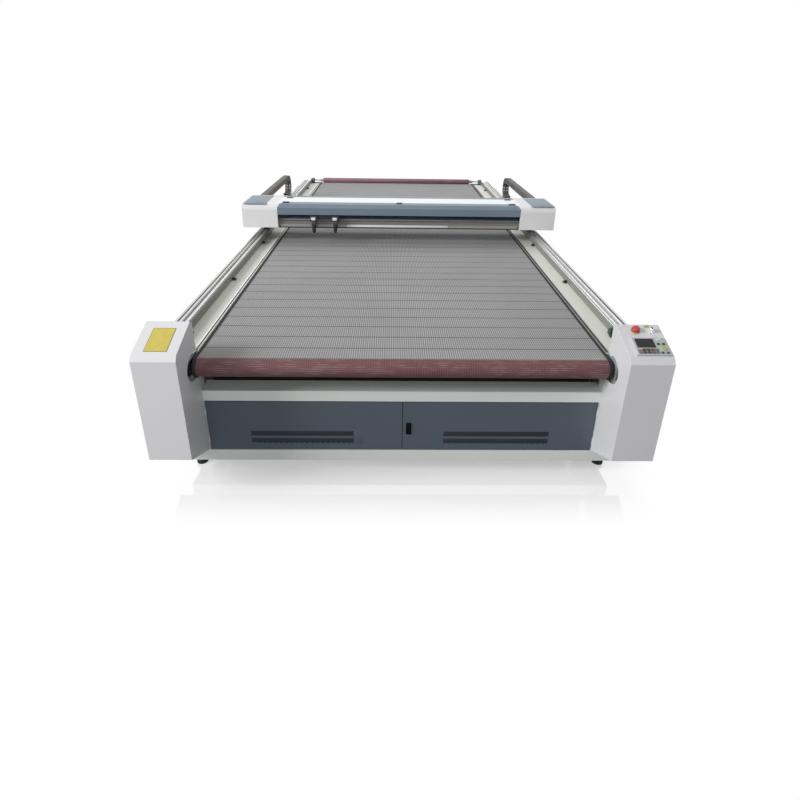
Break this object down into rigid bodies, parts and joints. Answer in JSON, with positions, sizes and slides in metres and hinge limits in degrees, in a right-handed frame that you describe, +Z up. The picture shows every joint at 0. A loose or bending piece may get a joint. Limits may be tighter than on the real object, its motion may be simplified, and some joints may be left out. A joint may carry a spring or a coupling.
{
  "type": "gantry laser cutting machine with conveyor table",
  "caption": "Large gantry laser cutter: a mesh-belt conveyor table on a low cream cabinet, two front pods, and a cross gantry with twin heads on side beams.",
  "frame": {"origin": "on the floor under the middle of the machine's outer box", "axes": "+X to the operator's right, +Y from the operator's end to the far end, +Z up"},
  "size_m": [2.924, 5.83, 1.172],
  "materials": {
    "cream_paint": "satin powder coat",
    "white_paint": "satin powder coat",
    "door_blue_paint": "satin powder coat",
    "cover_blue_paint": "satin powder coat",
    "aluminium": "clear anodised extrusion",
    "steel": "ground",
    "dark_metal": "matt black paint",
    "black_anodised": "black anodised",
    "black_rubber": "matt",
    "red_rubber": "matt",
    "belt_mesh": "woven mesh",
    "chain_plastic": "moulded",
    "red_plastic": "gloss",
    "yellow_plastic": "matt",
    "panel_grey": "printed film, plain",
    "chrome": "polished",
    "tube_glass": "clear"
  },
  "bodies": {
    "machine": {"base_frame": "cream_paint", "front_frame": "cream_paint", "rear_frame": "cream_paint", "left_bed_sill": "cream_paint", "right_bed_sill": "cream_paint", "left_side_panel": "cream_paint", "right_side_panel": "cream_paint", "left_pod": "white_paint", "right_pod": "white_paint", "left_guide_beam": "aluminium", "right_guide_beam": "aluminium", "left_linear_rail": "steel", "right_linear_rail": "steel", "left_chain_shelf": "steel", "right_chain_shelf": "steel", "conveyor_gearmotor": "steel", "bed_table": "dark_metal", "front_left_bearing": "dark_metal", "rear_left_bearing": "dark_metal", "rear_right_bearing": "dark_metal", "left_press_bearing": "dark_metal", "right_press_bearing": "dark_metal", "power_supply": "dark_metal", "front_left_foot": "black_rubber", "front_right_foot": "black_rubber", "rear_left_foot": "black_rubber", "rear_right_foot": "black_rubber", "mesh_belt": "belt_mesh", "left_chain_lower_run": "chain_plastic", "right_chain_lower_run": "chain_plastic", "e_stop_collar": "yellow_plastic", "control_panel": "panel_grey", "key_switch_body": "chrome"},
    "gantry": {"gantry_beam": "aluminium", "head_rail": "steel", "front_cover": "cover_blue_paint", "top_strip": "white_paint", "rear_cover": "cover_blue_paint", "left_end_housing": "white_paint", "right_end_housing": "white_paint", "left_carriage": "dark_metal", "right_carriage": "dark_metal", "laser_tube": "tube_glass", "left_cable_chain": "chain_plastic", "right_cable_chain": "chain_plastic", "head_drive_motor": "dark_metal"},
    "cutting_heads": {"head_carriage": "black_anodised", "left_laser_head": "white_paint", "right_laser_head": "white_paint"},
    "left_focus": {"left_focus_tube": "black_anodised"},
    "right_focus": {"right_focus_tube": "black_anodised"},
    "front_roller": {"front_roller": "red_rubber"},
    "rear_roller": {"rear_roller": "red_rubber"},
    "press_roller": {"press_roller": "red_rubber"},
    "left_door": {"left_door": "door_blue_paint"},
    "right_door": {"right_door": "door_blue_paint", "latch_plate": "black_rubber"},
    "latch_handle": {"latch_handle": "dark_metal"},
    "e_stop": {"e_stop_button": "red_plastic"},
    "key": {"switch_key": "chrome"}
  },
  "joints": [
    {"name": "gantry_travel", "type": "slide", "parent": "machine", "child": "gantry", "axis": [0, 1, 0], "range_m": [-2.05, 1.25]},
    {"name": "head_travel", "type": "slide", "parent": "gantry", "child": "cutting_heads", "axis": [1, 0, 0], "range_m": [-0.28, 1.66]},
    {"name": "left_focus_adjust", "type": "slide", "parent": "cutting_heads", "child": "left_focus", "axis": [0, 0, 1], "range_m": [-0.01, 0.01]},
    {"name": "right_focus_adjust", "type": "slide", "parent": "cutting_heads", "child": "right_focus", "axis": [0, 0, 1], "range_m": [-0.01, 0.01]},
    {"name": "front_roller_spin", "type": "hinge", "parent": "machine", "child": "front_roller", "pos_m": [0, -2.685, 0.759], "axis": [1, 0, 0], "continuous": true},
    {"name": "rear_roller_spin", "type": "hinge", "parent": "machine", "child": "rear_roller", "pos_m": [0, 2.86, 0.759], "axis": [1, 0, 0], "continuous": true},
    {"name": "press_roller_spin", "type": "hinge", "parent": "machine", "child": "press_roller", "pos_m": [0, 2.86, 0.8478], "axis": [1, 0, 0], "continuous": true},
    {"name": "left_door_hinge", "type": "hinge", "parent": "machine", "child": "left_door", "pos_m": [-1.1405, -2.648, 0.35], "axis": [0, 0, -1], "range_deg": [0, 90]},
    {"name": "right_door_hinge", "type": "hinge", "parent": "machine", "child": "right_door", "pos_m": [1.1405, -2.648, 0.35], "axis": [0, 0, 1], "range_deg": [0, 90]},
    {"name": "latch_flip", "type": "hinge", "parent": "right_door", "child": "latch_handle", "pos_m": [0.037, -2.6511, 0.298], "axis": [1, 0, 0], "range_deg": [0, 40]},
    {"name": "e_stop_press", "type": "slide", "parent": "machine", "child": "e_stop", "axis": [0, 0.3479, -0.9375], "range_m": [0, 0.006]},
    {"name": "key_turn", "type": "hinge", "parent": "machine", "child": "key", "pos_m": [1.317, -2.7196, 1.0074], "axis": [0, -0.3479, 0.9375], "range_deg": [-90, 0]}
  ],
  "couplings": [
    {"joint": "rear_roller_spin", "follows": "front_roller_spin", "ratio": 1},
    {"joint": "press_roller_spin", "follows": "front_roller_spin", "ratio": -1.6418}
  ]
}
